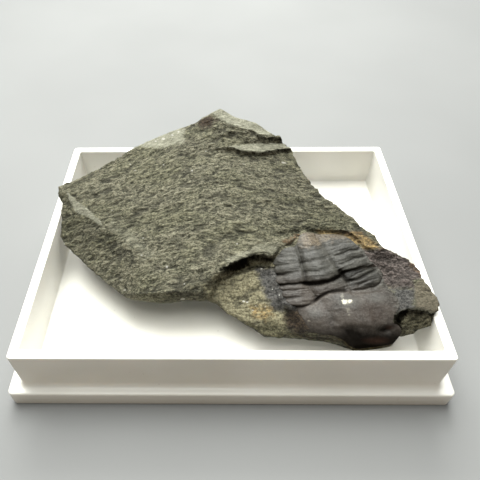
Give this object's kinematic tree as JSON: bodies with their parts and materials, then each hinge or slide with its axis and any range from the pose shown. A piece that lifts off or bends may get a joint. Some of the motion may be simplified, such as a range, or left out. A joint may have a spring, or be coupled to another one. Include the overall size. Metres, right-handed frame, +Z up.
{
  "type": "fossil trilobite in a shale slab on a display tray",
  "caption": "Trilobite fossil with ribbed thorax and smooth head shield in an angular shale slab, resting tilted across a low white display tray.",
  "frame": {"origin": "middle of the part's box in X and Y, at the foot of the tray", "axes": "+Z up, +X along the tray's long side to the right, +Y towards the back; the trilobite's head points to the front and right"},
  "size_m": [0.0744, 0.0578, 0.0225],
  "materials": {
    "tray_plastic": "smooth moulded white plastic, semi-gloss",
    "shale": "rough split shale, greenish grey with pale, rusty and bluish patches",
    "fossil": "smooth dark brown-grey cast with a dull sheen"
  },
  "bodies": {
    "root": {"display_tray": "tray_plastic", "shale_slab": "shale", "trilobite": "fossil"}
  },
  "joints": []
}
